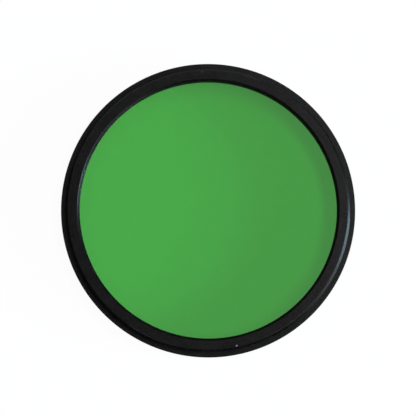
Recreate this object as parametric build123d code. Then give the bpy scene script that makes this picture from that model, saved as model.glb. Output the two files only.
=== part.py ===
from build123d import *
from math import degrees, radians, tan
import os

# A screw-in contrast filter for a camera lens, in millimetres. The optical axis is Z, the front of
# the filter lies on Z = 0 and the outside thread points up, along +Z.

# Filter thread, metric fine 52 x 0.75, the same at the front and at the rear
thread_diameter = 52.0
thread_pitch = 0.75
inside_thread_height = 1.0825 * thread_pitch  # diameter lost to the ridges of an inside thread

# Rear collar, which carries the outside thread
collar_height = 2.2
collar_lead_in = 0.5
relief_height = 0.45
relief_depth = 0.55

# Rim, gripped by its straight knurl
shoulder_width = 1.0
rim_edge_break = 0.15
front_land_height = 1.1
rear_land_height = 1.1
knurl_recess = 0.15
knurl_groove_count = 180
knurl_groove_depth = 0.3
knurl_groove_angle = 90.0

# Front thread recess
front_thread_length = 2.2
front_mouth_clearance = 0.1

# Glass
glass_thickness = 2.0
glass_bevel = 0.2
glass_side_clearance = 0.1

# Ledge that the glass lies against, at the rear
ledge_height = 1.7
ledge_overlap = 0.9
ledge_chamfer_width = 0.4
ledge_chamfer_height = 0.7

# Retaining ring, screwed in from the front
retainer_thread_step = 1.0
retainer_seat_step = 0.5
retainer_height = 1.0
retainer_overlap = 0.75
retainer_recess = 0.1
retainer_thread_play = 0.05
retainer_thread_run_out = 0.2
retainer_edge_break = 0.12
notch_count = 2
notch_width = 1.6
notch_depth = 0.5

# How far a cutting shape runs past the metal
cutter_overrun = 0.5

# Radii that follow
thread_radius = thread_diameter / 2
rim_radius = thread_radius + shoulder_width
relief_radius = thread_radius - relief_depth
front_bore_radius = (thread_diameter - inside_thread_height) / 2
front_mouth_radius = thread_radius + front_mouth_clearance
retainer_thread_radius = thread_radius - retainer_thread_step
retainer_radius = retainer_thread_radius - retainer_thread_play
glass_radius = retainer_thread_radius - retainer_seat_step
glass_seat_radius = glass_radius + glass_side_clearance
ledge_radius = glass_radius - ledge_overlap
retainer_bore_radius = glass_radius - retainer_overlap
knurl_radius = rim_radius - knurl_recess

# Heights that follow, from the front up
retainer_bottom = front_thread_length + retainer_recess
glass_bottom = retainer_bottom + retainer_height
glass_top = glass_bottom + glass_thickness
overall_height = glass_top + ledge_height
rim_height = overall_height - collar_height
knurl_top = rim_height - rear_land_height


def turned(section):
    """Returns the solid that a closed (radius, height) section sweeps round the optical axis."""
    outline = Plane.XZ * Polyline(*section, close=True)
    return revolve(make_face(outline), Axis.Z)


def bore_section():
    """Returns the inside of the mount ring, from the front edge up to the rear face."""
    mouth_height = front_mouth_radius - front_bore_radius
    return [
        (front_mouth_radius, 0),
        (front_bore_radius, mouth_height),
        (front_bore_radius, front_thread_length),
        (retainer_thread_radius, front_thread_length),
        (retainer_thread_radius, glass_bottom + retainer_thread_run_out),
        (glass_seat_radius, glass_bottom + retainer_thread_run_out),
        (glass_seat_radius, glass_top),
        (ledge_radius, glass_top),
        (ledge_radius, overall_height - ledge_chamfer_height),
        (ledge_radius + ledge_chamfer_width, overall_height),
    ]


def collar_section():
    """Returns the outside of the rear collar, from the rear face down to the rim's shoulder."""
    return [
        (thread_radius - collar_lead_in, overall_height),
        (thread_radius, overall_height - collar_lead_in),
        (thread_radius, rim_height + relief_height),
        (relief_radius, rim_height + relief_height),
        (relief_radius, rim_height),
    ]


def rim_section():
    """Returns the outside of the rim, from the shoulder down to the front edge."""
    return [
        (rim_radius - rim_edge_break, rim_height),
        (rim_radius, rim_height - rim_edge_break),
        (rim_radius, rim_edge_break),
        (rim_radius - rim_edge_break, 0),
    ]


def knurl_outline():
    """Returns the knurl's closed outline, one V groove after the other round the rim."""
    root_radius = knurl_radius - knurl_groove_depth
    half_width = knurl_groove_depth * tan(radians(knurl_groove_angle / 2))
    half_turn = degrees(half_width / knurl_radius)
    outline = []
    for groove in range(knurl_groove_count):
        middle = groove * 360 / knurl_groove_count
        outline.append(Vector(knurl_radius, 0).rotate(Axis.Z, middle - half_turn))
        outline.append(Vector(root_radius, 0).rotate(Axis.Z, middle))
        outline.append(Vector(knurl_radius, 0).rotate(Axis.Z, middle + half_turn))
    return outline


def knurl_cutter():
    """Returns the band of metal that the knurl takes off the rim, between the smooth lands."""
    knurl = make_face(Polyline(*knurl_outline(), close=True))
    band = Circle(rim_radius + cutter_overrun) - knurl
    return Pos(0, 0, front_land_height) * extrude(band, knurl_top - front_land_height)


def mount_ring():
    """Returns the turned and knurled ring that carries the glass and both threads."""
    blank = turned(bore_section() + collar_section() + rim_section())
    return blank - knurl_cutter()


def filter_glass():
    """Returns the flat glass disc with its ground bevels."""
    return turned(
        [
            (0, glass_bottom),
            (glass_radius - glass_bevel, glass_bottom),
            (glass_radius, glass_bottom + glass_bevel),
            (glass_radius, glass_top - glass_bevel),
            (glass_radius - glass_bevel, glass_top),
            (0, glass_top),
        ]
    )


def retaining_ring():
    """Returns the thin ring that clamps the glass, with its spanner notches in the front face."""
    ring = turned(
        [
            (retainer_bore_radius + retainer_edge_break, retainer_bottom),
            (retainer_radius - retainer_edge_break, retainer_bottom),
            (retainer_radius, retainer_bottom + retainer_edge_break),
            (retainer_radius, glass_bottom),
            (retainer_bore_radius, glass_bottom),
            (retainer_bore_radius, retainer_bottom + retainer_edge_break),
        ]
    )
    ring_width = retainer_radius - retainer_bore_radius
    notch_cutter = Pos(0, 0, retainer_bottom) * Box(
        ring_width + 2 * cutter_overrun,
        notch_width,
        2 * notch_depth,
    )
    return ring - PolarLocations(retainer_bore_radius + ring_width / 2, notch_count) * notch_cutter


os.makedirs("parts", exist_ok=True)
export_step(mount_ring(), "parts/mount_ring.step")
export_step(filter_glass(), "parts/filter_glass.step")
export_step(retaining_ring(), "parts/retaining_ring.step")
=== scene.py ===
from math import atan2, cos, degrees, hypot, pi, radians, sin, sqrt, tan

import bmesh
import bpy
from mathutils import Matrix, Vector


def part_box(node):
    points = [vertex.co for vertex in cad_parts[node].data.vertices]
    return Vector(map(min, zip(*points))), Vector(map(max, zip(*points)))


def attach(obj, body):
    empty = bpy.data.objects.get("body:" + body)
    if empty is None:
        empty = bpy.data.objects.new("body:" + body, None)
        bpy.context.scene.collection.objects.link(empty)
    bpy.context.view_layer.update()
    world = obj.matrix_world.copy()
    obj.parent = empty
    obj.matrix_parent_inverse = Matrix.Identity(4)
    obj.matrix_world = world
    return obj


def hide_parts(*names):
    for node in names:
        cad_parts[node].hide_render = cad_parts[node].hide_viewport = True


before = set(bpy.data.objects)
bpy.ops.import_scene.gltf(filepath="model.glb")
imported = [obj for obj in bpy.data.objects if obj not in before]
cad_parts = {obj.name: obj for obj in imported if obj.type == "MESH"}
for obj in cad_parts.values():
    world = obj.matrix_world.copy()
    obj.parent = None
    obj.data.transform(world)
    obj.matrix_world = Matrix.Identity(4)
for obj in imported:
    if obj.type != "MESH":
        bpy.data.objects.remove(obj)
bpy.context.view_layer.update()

# Mount ring.
# One turned aluminium ring, black anodised, with a straight-knurled grip, an outside lens thread on
# its rear collar, an inside thread at the front, and the ledge that the glass lies against.

MM = 0.001
SLICES = 540
WEDGES = 18
ring_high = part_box("mount_ring")[1] / MM
rim_radius = ring_high.x
overall_height = ring_high.z

shoulder_width = 1.0
thread_radius = rim_radius - shoulder_width
thread_pitch = 0.75
thread_crest_share = 0.125
outside_thread_play = 0.08
outside_thread_radius = thread_radius - outside_thread_play
outside_thread_depth = 0.6134 * thread_pitch
outside_flank_share = 0.354
outside_thread_rows = 3
inside_thread_depth = 0.5413 * thread_pitch
inside_flank_share = 0.3125

collar_height = 2.2
collar_lead_in = 0.54
rear_face_radius = outside_thread_radius - collar_lead_in
relief_height = 0.45
relief_depth = 0.55
relief_slope = 1.7
relief_radius = thread_radius - relief_depth
rim_height = overall_height - collar_height

rim_edge_break = 0.15
land_height = 1.1
knurl_recess = 0.15
knurl_radius = rim_radius - knurl_recess
knurl_groove_depth = 0.3
knurl_bottom = land_height
knurl_top = rim_height - land_height
knurl_end_bevel = 0.08
SLICES_PER_GROOVE = 3

front_thread_length = 2.2
front_mouth_clearance = 0.1
front_bore_radius = thread_radius - inside_thread_depth
front_mouth_radius = thread_radius + front_mouth_clearance

glass_low, glass_high = (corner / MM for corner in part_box("filter_glass"))
retainer_low, retainer_high = (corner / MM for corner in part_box("retaining_ring"))
retainer_thread_play = 0.05
retainer_thread_run_out = 0.2
retainer_thread_radius = retainer_high.x + retainer_thread_play
glass_side_clearance = 0.1
glass_seat_radius = glass_high.x + glass_side_clearance
seat_step_height = glass_low.z + retainer_thread_run_out
ledge_overlap = 0.97
ledge_radius = glass_high.x - ledge_overlap
ledge_chamfer_width = 0.37
ledge_chamfer_height = 0.5
edge_round = 0.04

weld_distance = 0.0004
sliver_length = 0.0002


def spin_profile(bm, profile, slices=SLICES, rise=0.0):
    """Spins an open (radius, height) profile once round the optical axis, rising as a thread does."""
    kept = set(bm.verts) | set(bm.edges) | set(bm.faces)
    points = [bm.verts.new((radius * MM, 0, height * MM)) for radius, height in profile]
    edges = [bm.edges.new(pair) for pair in zip(points, points[1:])]
    bmesh.ops.spin(
        bm,
        geom=points + edges,
        cent=(0, 0, 0),
        axis=(0, 0, 1),
        dvec=(0, 0, rise * MM / slices),
        angle=2 * pi / WEDGES,
        steps=slices // WEDGES,
    )
    wedge = [part for part in (*bm.verts, *bm.edges, *bm.faces) if part not in kept]
    bmesh.ops.spin(
        bm,
        geom=wedge,
        cent=(0, 0, 0),
        axis=(0, 0, 1),
        dvec=(0, 0, rise * MM / WEDGES),
        angle=2 * pi * (WEDGES - 1) / WEDGES,
        steps=WEDGES - 1,
        use_duplicate=True,
    )


def set_radius(vert, radius):
    """Moves a vertex along its own radius to this distance from the optical axis, in millimetres."""
    turn = atan2(vert.co.y, vert.co.x)
    vert.co.x = radius * MM * cos(turn)
    vert.co.y = radius * MM * sin(turn)


def thread_profile(start, end, root, crest, flank_share, rows=1):
    """Returns a thread's zigzag from below start to above end, each stretch cut into this many rows."""
    pitches = int((end - start) / thread_pitch) + 3
    flank = flank_share * thread_pitch
    crest_land = thread_crest_share * thread_pitch
    root_land = thread_pitch - 2 * flank - crest_land
    corners = []
    for ridge in range(pitches):
        foot = start + (ridge - 1) * thread_pitch
        corners.append((root, foot))
        corners.append((root, foot + root_land))
        corners.append((crest, foot + root_land + flank))
        corners.append((crest, foot + root_land + flank + crest_land))
    profile = corners[:1]
    for (last_radius, last_height), (radius, height) in zip(corners, corners[1:]):
        for row in range(1, rows + 1):
            share = row / rows
            row_radius = last_radius + share * (radius - last_radius)
            row_height = last_height + share * (height - last_height)
            profile.append((row_radius, row_height))
    return profile


def add_outside_thread(bm):
    """Adds the helical outside thread of the collar, cut off by its lead-in and by the relief."""
    bottom = rim_height + relief_height
    chamfer_start = overall_height - collar_lead_in
    root = outside_thread_radius - outside_thread_depth
    ridges = thread_profile(
        bottom, overall_height, root, outside_thread_radius, outside_flank_share, outside_thread_rows
    )
    before = set(bm.verts)
    spin_profile(bm, ridges, rise=thread_pitch)
    for vert in set(bm.verts) - before:
        height = min(max(vert.co.z / MM, bottom), overall_height)
        radius = hypot(vert.co.x, vert.co.y) / MM
        radius = min(radius, outside_thread_radius - (height - chamfer_start))
        radius = min(radius, relief_radius + relief_slope * (height - bottom))
        vert.co.z = height * MM
        set_radius(vert, radius)


def add_inside_thread(bm):
    """Adds the helical inside thread of the front recess, from its open mouth to the shoulder."""
    ridges = thread_profile(
        0, front_thread_length, front_bore_radius, thread_radius, inside_flank_share
    )
    before = set(bm.verts)
    spin_profile(bm, ridges, rise=thread_pitch)
    for vert in set(bm.verts) - before:
        height = min(max(vert.co.z / MM, 0), front_thread_length)
        radius = hypot(vert.co.x, vert.co.y) / MM
        radius = max(radius, front_mouth_radius - height)
        radius = min(radius, front_bore_radius + (front_thread_length - height))
        vert.co.z = height * MM
        set_radius(vert, radius)


def add_turned_faces(bm):
    """Adds all that the lathe leaves plain, from the relief round the rim and the bore to the face."""
    inner_edge = ledge_radius + ledge_chamfer_width
    outer = [
        (relief_radius, rim_height + relief_height),
        (relief_radius, rim_height),
        (rim_radius - rim_edge_break, rim_height),
        (rim_radius, rim_height - rim_edge_break),
        (rim_radius, knurl_top + edge_round),
        (rim_radius - edge_round, knurl_top),
        (knurl_radius - knurl_end_bevel, knurl_top),
        (knurl_radius, knurl_top - knurl_end_bevel),
        (knurl_radius, knurl_bottom + knurl_end_bevel),
        (knurl_radius - knurl_end_bevel, knurl_bottom),
        (rim_radius - edge_round, knurl_bottom),
        (rim_radius, knurl_bottom - edge_round),
        (rim_radius, rim_edge_break),
        (rim_radius - rim_edge_break, 0),
        (front_mouth_radius, 0),
    ]
    bore = [
        (front_bore_radius, front_thread_length),
        (retainer_thread_radius + edge_round, front_thread_length),
        (retainer_thread_radius, front_thread_length + edge_round),
        (retainer_thread_radius, seat_step_height),
        (glass_seat_radius, seat_step_height),
        (glass_seat_radius, glass_high.z),
        (ledge_radius + edge_round, glass_high.z),
        (ledge_radius, glass_high.z + edge_round),
        (ledge_radius, overall_height - ledge_chamfer_height),
        (inner_edge - edge_round / 2, overall_height - edge_round),
        (inner_edge + edge_round, overall_height),
        (rear_face_radius, overall_height),
    ]
    spin_profile(bm, outer)
    spin_profile(bm, bore)


def cut_knurl(bm):
    """Presses the V grooves of the knurl into the grip band, one for every few slices."""
    slack = 0.01
    for vert in bm.verts:
        height = vert.co.z / MM
        radius = hypot(vert.co.x, vert.co.y) / MM
        in_band = knurl_bottom - slack < height < knurl_top + slack
        on_band = knurl_radius - knurl_end_bevel - slack < radius < knurl_radius + slack
        slice_number = round(degrees(atan2(vert.co.y, vert.co.x)) / 360 * SLICES)
        if in_band and on_band and slice_number % SLICES_PER_GROOVE == 0:
            set_radius(vert, radius - knurl_groove_depth)


def finish_piece(bm, name, node, material):
    """Closes the seams, turns the faces outwards and makes a piece that stands for its CAD node."""
    sharp_angle = 28
    bmesh.ops.remove_doubles(bm, verts=bm.verts, dist=weld_distance * MM)
    bmesh.ops.dissolve_degenerate(bm, edges=bm.edges, dist=sliver_length * MM)
    bmesh.ops.recalc_face_normals(bm, faces=bm.faces)
    mesh = bpy.data.meshes.new(name)
    bm.to_mesh(mesh)
    bm.free()
    mesh.shade_smooth()
    mesh.set_sharp_from_angle(angle=radians(sharp_angle))
    mesh.materials.append(material)
    piece = bpy.data.objects.new(name, mesh)
    bpy.context.scene.collection.objects.link(piece)
    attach(piece, "root")
    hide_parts(node)


def new_material(name):
    """Returns a new material with its node tree and its Principled shader."""
    material = bpy.data.materials.new(name)
    material.use_nodes = True
    return material, material.node_tree, material.node_tree.nodes["Principled BSDF"]


def add_node(tree, kind, inputs=(), **settings):
    """Adds a shader node, with its settings, and links or fills its inputs by name or number."""
    node = tree.nodes.new("ShaderNode" + kind)
    for name, value in settings.items():
        setattr(node, name, value)
    for key, value in dict(inputs).items():
        if isinstance(value, bpy.types.NodeSocket):
            tree.links.new(value, node.inputs[key])
        else:
            node.inputs[key].default_value = value
    return node


def add_ramp(tree, value, start, end, start_result, end_result):
    """Returns a socket that runs between two results while the value runs from start to end."""
    ramp = add_node(
        tree, "MapRange", {"Value": value, "From Min": start, "From Max": end,
                           "To Min": start_result, "To Max": end_result}
    )
    return ramp.outputs[0]


def add_colour_mix(tree, share, first, second):
    """Returns a colour socket that blends from the first colour to the second."""
    mix = add_node(tree, "Mix", {"Factor": share, "A": first, "B": second}, data_type="RGBA")
    return mix.outputs["Result"]


def grey(level):
    """Returns an opaque grey of this linear level."""
    return (level, level, level, 1)


def add_nick(tree, place, colour, nick_x, nick_y, size, bared_level):
    """Lays a nick's bared metal over the colour, on the rear face, and returns the new colour."""
    centre = (nick_x * MM, nick_y * MM, overall_height * MM)
    reach = add_node(tree, "VectorMath", {0: place, 1: centre}, operation="DISTANCE").outputs["Value"]
    share = add_ramp(tree, reach, size / 4 * MM, size / 2 * MM, 1.0, 0.0)
    return add_colour_mix(tree, share, colour, grey(bared_level))


def anodised_black(name, shine, dull_radius, nicks=()):
    """Black dye over fine turning marks, with dust and nicks, and duller inside this radius."""
    turned_roughness = (0.27, 0.29)
    bored_roughness = 0.6
    darkest_dye, dustiest_dye = 0.0004, 0.0066
    turning_stretch = 0.0004
    material, tree, shader = new_material(name)
    place = add_node(tree, "TexCoord").outputs["Object"]
    split = add_node(tree, "SeparateXYZ", {0: place}).outputs
    flat = add_node(tree, "CombineXYZ", {0: split[0], 1: split[1]}).outputs[0]
    radius = add_node(tree, "VectorMath", {0: flat}, operation="LENGTH").outputs["Value"]
    turn = add_node(tree, "Math", {0: split[1], 1: split[0]}, operation="ARCTAN2").outputs[0]
    slow_turn = add_node(tree, "Math", {0: turn, 1: turning_stretch}, operation="MULTIPLY").outputs[0]
    lathe_place = add_node(tree, "CombineXYZ", {0: radius, 1: slow_turn, 2: split[2]}).outputs[0]
    marks = add_node(tree, "TexNoise", {"Vector": lathe_place, "Scale": 9000, "Detail": 4}).outputs[0]
    grain = add_node(tree, "TexNoise", {"Vector": place, "Scale": 14000, "Detail": 3}).outputs[0]
    blotches = add_node(tree, "TexNoise", {"Vector": place, "Scale": 260, "Detail": 5}).outputs[0]
    height = add_node(tree, "Math", {0: marks, 1: grain}, operation="ADD").outputs[0]
    bump = add_node(tree, "Bump", {"Height": height, "Strength": 0.05, "Distance": 0.00002})
    tree.links.new(bump.outputs[0], shader.inputs["Normal"])
    speckle = add_node(tree, "TexNoise", {"Vector": place, "Scale": 4500, "Detail": 2}).outputs[0]
    dust = add_node(tree, "Math", {0: blotches, 1: 0.35, 2: speckle}, operation="MULTIPLY_ADD")
    shade = add_ramp(tree, dust.outputs[0], 0.5, 0.85, 0.0, 1.0)
    dyed = add_colour_mix(tree, shade, grey(darkest_dye), grey(dustiest_dye))
    for nick in nicks:
        dyed = add_nick(tree, place, dyed, *nick)
    tree.links.new(dyed, shader.inputs["Base Color"])
    rough = add_ramp(tree, blotches, 0.3, 0.7, *turned_roughness)
    dull_start = (dull_radius - edge_round) * MM
    dull = add_ramp(tree, radius, dull_start, dull_radius * MM, bored_roughness, 0.0)
    finish = add_node(tree, "Math", {0: rough, 1: dull}, operation="MAXIMUM")
    tree.links.new(finish.outputs[0], shader.inputs["Roughness"])
    shader.inputs["Specular IOR Level"].default_value = shine
    return material


# Each nick is given by its X and Y and its size in millimetres, and by how bright it bares the metal.
edge_nick = (5.10, -24.83, 0.4, 0.22)
face_speck = (-1.2, 25.2, 0.4, 0.03)
ring_shine = 0.098
ring_material = anodised_black(
    "anodised_black", ring_shine, ledge_radius + edge_round, (edge_nick, face_speck)
)
ring_mesh = bmesh.new()
add_turned_faces(ring_mesh)
cut_knurl(ring_mesh)
add_outside_thread(ring_mesh)
add_inside_thread(ring_mesh)
finish_piece(
    ring_mesh, "turned_mount_ring", "mount_ring", ring_material
)

# Retaining ring.
# A thin threaded aluminium ring, black anodised, that is screwed in from the front with a pin
# spanner and presses the glass against the ledge.

retainer_overlap = 0.75
retainer_bore_radius = glass_high.x - retainer_overlap
retainer_edge_break = 0.12
retainer_shine = 0.03
notch_width = 1.6
notch_depth = 0.5
notch_wall = 0.01
cut_tolerance = 0.0001


def add_retainer(bm):
    """Adds the turned ring, with its broken edges, and closes its seam."""
    section = [
        (retainer_bore_radius + retainer_edge_break, retainer_low.z),
        (retainer_high.x - retainer_edge_break, retainer_low.z),
        (retainer_high.x, retainer_low.z + retainer_edge_break),
        (retainer_high.x, retainer_high.z),
        (retainer_bore_radius, retainer_high.z),
        (retainer_bore_radius, retainer_low.z + retainer_edge_break),
    ]
    spin_profile(bm, section + section[:1])
    bmesh.ops.remove_doubles(bm, verts=bm.verts, dist=weld_distance * MM)


def cut_notches(bm):
    """Presses the two spanner notches into the lower face, on the X axis, with nearly upright walls."""
    for edge in (notch_width / 2 - notch_wall, notch_width / 2):
        for side in (-1, 1):
            bmesh.ops.bisect_plane(
                bm,
                geom=[*bm.verts, *bm.edges, *bm.faces],
                dist=cut_tolerance * MM,
                plane_co=(0, side * edge * MM, 0),
                plane_no=(0, 1, 0),
            )
    notch_top = (retainer_low.z + notch_depth) * MM
    for vert in bm.verts:
        if abs(vert.co.y) < (notch_width - notch_wall) / 2 * MM:
            vert.co.z = max(vert.co.z, notch_top)


retainer_material = anodised_black("anodised_retainer", retainer_shine, retainer_high.x)
retainer_mesh = bmesh.new()
add_retainer(retainer_mesh)
cut_notches(retainer_mesh)
finish_piece(
    retainer_mesh, "turned_retaining_ring", "retaining_ring",
    retainer_material
)

# Filter glass.
# A flat disc of green glass, dyed in the mass, polished on both faces and ground at its edge. It lies
# on the ledge of the mount ring, and the retaining ring holds it there.

glass_slices = 180
glass_bevel = 0.2
glass_skin = 0.004
glass_tint = (0.142, 0.556, 0.138)


def add_glass_disc(bm):
    """Adds the disc with its ground bevels, a hair thinner than its seat so that no faces touch."""
    low = glass_low.z + glass_skin
    high = glass_high.z - glass_skin
    section = [
        (0, low),
        (glass_high.x - glass_bevel, low),
        (glass_high.x, low + glass_bevel),
        (glass_high.x, high - glass_bevel),
        (glass_high.x - glass_bevel, high),
        (0, high),
    ]
    spin_profile(bm, section, slices=glass_slices)


def green_glass():
    """Clear green glass that bends what the eye sees through it and lets the light on it pass."""
    material, tree, shader = new_material("green_glass")
    shader.inputs["Base Color"].default_value = (*glass_tint, 1)
    shader.inputs["Roughness"].default_value = 0.0
    shader.inputs["IOR"].default_value = 1.52
    shader.inputs["Transmission Weight"].default_value = 1.0
    face_tint = [sqrt(part) for part in glass_tint]
    clear = add_node(tree, "BsdfTransparent", {"Color": (*face_tint, 1)}).outputs[0]
    path = add_node(tree, "LightPath").outputs
    shadow = add_node(tree, "MixShader", {0: path["Is Shadow Ray"], 1: shader.outputs[0], 2: clear})
    diffuse = add_node(tree, "MixShader", {0: path["Is Diffuse Ray"], 1: shadow.outputs[0], 2: clear})
    tree.links.new(diffuse.outputs[0], tree.nodes["Material Output"].inputs["Surface"])
    return material


glass_material = green_glass()
glass_mesh = bmesh.new()
add_glass_disc(glass_mesh)
finish_piece(glass_mesh, "green_glass_disc", "filter_glass", glass_material)

# Floor.
# White paper, which the camera sees as plain white. Past the near ground it is darker to all other
# rays, so that the black metal doesn't mirror white from far off.

paper_half_side = 3.0
paper_drop = 0.01
paper_edge = (0.075, 0.1)
paper_levels = (0.93, 0.2)


def white_paper():
    """Matt white paper, whitened by a share of plain glow for what the eye sees of it."""
    camera_share, glass_share, metal_share = 0.96, 0.24, 0.2
    material, tree, shader = new_material("white_paper")
    place = add_node(tree, "TexCoord").outputs["Object"]
    reach = add_node(tree, "VectorMath", {0: place}, operation="LENGTH").outputs["Value"]
    tree.links.new(add_ramp(tree, reach, *paper_edge, *paper_levels), shader.inputs["Base Color"])
    shader.inputs["Roughness"].default_value = 0.9
    shader.inputs["Specular IOR Level"].default_value = 0.1
    glow = add_node(tree, "Emission", {"Color": grey(1), "Strength": 1.0}).outputs[0]
    path = add_node(tree, "LightPath").outputs
    seen = add_node(
        tree, "Math", {0: path["Is Camera Ray"], 1: camera_share}, operation="MULTIPLY"
    ).outputs[0]
    seen = add_node(
        tree, "Math", {0: path["Is Transmission Ray"], 1: glass_share, 2: seen}, operation="MULTIPLY_ADD"
    ).outputs[0]
    seen = add_node(
        tree, "Math", {0: path["Is Glossy Ray"], 1: metal_share, 2: seen}, operation="MULTIPLY_ADD"
    ).outputs[0]
    whitened = add_node(tree, "MixShader", {0: seen, 1: shader.outputs[0], 2: glow})
    tree.links.new(whitened.outputs[0], tree.nodes["Material Output"].inputs["Surface"])
    return material


paper_mesh = bmesh.new()
bmesh.ops.create_grid(paper_mesh, x_segments=1, y_segments=1, size=paper_half_side)
bmesh.ops.translate(paper_mesh, verts=paper_mesh.verts, vec=(0, 0, -paper_drop * MM))
paper_data = bpy.data.meshes.new("paper")
paper_mesh.to_mesh(paper_data)
paper_mesh.free()
paper_data.materials.append(white_paper())
paper = bpy.data.objects.new("paper", paper_data)
bpy.context.scene.collection.objects.link(paper)

# Light.
# A window low on the right with a paler one beside it, a soft lamp overhead, faint light from the
# ceiling and the walls, and a dim room that the camera sees as white.

panel_distance = 3.0
horizon_level, overhead_level = 0.30, 0.04
horizon_top, overhead_bottom = 0.05, 0.35


def direction(azimuth, elevation):
    """Returns the unit vector that points to this azimuth, from +X towards +Y, and elevation."""
    turn = radians(azimuth)
    rise = radians(elevation)
    return Vector((cos(turn) * cos(rise), sin(turn) * cos(rise), sin(rise)))


def add_panel(name, azimuth, elevation, width, height, radiance, colour):
    """Adds a soft rectangular light far off, in that direction, of that size in degrees."""
    lamp = bpy.data.lights.new(name, "AREA")
    lamp.shape = "RECTANGLE"
    lamp.size = 2 * panel_distance * tan(radians(width / 2))
    lamp.size_y = 2 * panel_distance * tan(radians(height / 2))
    lamp.energy = radiance * pi * lamp.size * lamp.size_y
    lamp.color = colour
    panel = bpy.data.objects.new(name, lamp)
    panel.location = direction(azimuth, elevation) * panel_distance
    panel.rotation_euler = (-direction(azimuth, elevation)).to_track_quat("-Z", "Y").to_euler()
    panel.visible_camera = False
    bpy.context.scene.collection.objects.link(panel)


def add_room():
    """Makes the world: dim walls, a darker ceiling, and plain white for the camera."""
    world = bpy.data.worlds.new("pale_room")
    bpy.context.scene.world = world
    world.use_nodes = True
    tree = world.node_tree
    room = tree.nodes["Background"]
    room.inputs["Color"].default_value = grey(1)
    place = add_node(tree, "TexCoord").outputs["Generated"]
    height = add_node(tree, "SeparateXYZ", {0: place}).outputs[2]
    level = add_ramp(tree, height, horizon_top, overhead_bottom, horizon_level, overhead_level)
    tree.links.new(level, room.inputs["Strength"])
    backdrop = add_node(tree, "Background", {"Color": grey(1), "Strength": 1.0}).outputs[0]
    path = add_node(tree, "LightPath").outputs
    mix = add_node(tree, "MixShader", {0: path["Is Camera Ray"], 1: room.outputs[0], 2: backdrop})
    tree.links.new(mix.outputs[0], tree.nodes["World Output"].inputs["Surface"])


add_panel("window", 353, 18, width=19, height=14, radiance=50, colour=(0.70, 1.0, 1.2))
add_panel("side_window", 334, 22, width=18, height=20, radiance=7, colour=(0.95, 1.0, 0.95))
add_panel("softbox", 8, 71, width=28, height=13, radiance=13, colour=(1.05, 1.0, 1.0))
add_panel("ceiling", 95, 70, width=40, height=14, radiance=1.8, colour=(1.0, 1.0, 1.0))
add_panel("left_wall", 192, 73, width=30, height=10, radiance=2.4, colour=(1.1, 1.0, 1.0))
add_panel("low_wall", 314, 3.5, width=30, height=5, radiance=7, colour=(1.0, 1.0, 1.0))
add_room()

# Camera.
# It looks down on the filter from a little off the optical axis, with the rim's shoulder at the scale
# that the photograph has.

camera_distance = 0.350
camera_tilt = 4.2
camera_azimuth = 253
camera_sensor = 36
pixels_per_mm = 5.452
image_side = 416
aim = Vector((-0.064 * MM, 0.353 * MM, rim_height * MM))


def add_camera():
    """Adds the camera, turned so that the top of its picture points along +Y."""
    camera_data = bpy.data.cameras.new("camera")
    camera_data.sensor_width = camera_sensor
    camera_data.lens = camera_sensor * camera_distance / (image_side / pixels_per_mm * MM)
    camera = bpy.data.objects.new("camera", camera_data)
    back = direction(camera_azimuth, 90 - camera_tilt)
    spot = aim + back * camera_distance
    side = Vector((0, 1, 0)).cross(back).normalized()
    upward = back.cross(side)
    camera.matrix_world = Matrix((
        (side.x, upward.x, back.x, spot.x),
        (side.y, upward.y, back.y, spot.y),
        (side.z, upward.z, back.z, spot.z),
        (0, 0, 0, 1),
    ))
    bpy.context.scene.collection.objects.link(camera)
    bpy.context.scene.camera = camera


add_camera()
bpy.context.scene.view_settings.view_transform = "Standard"
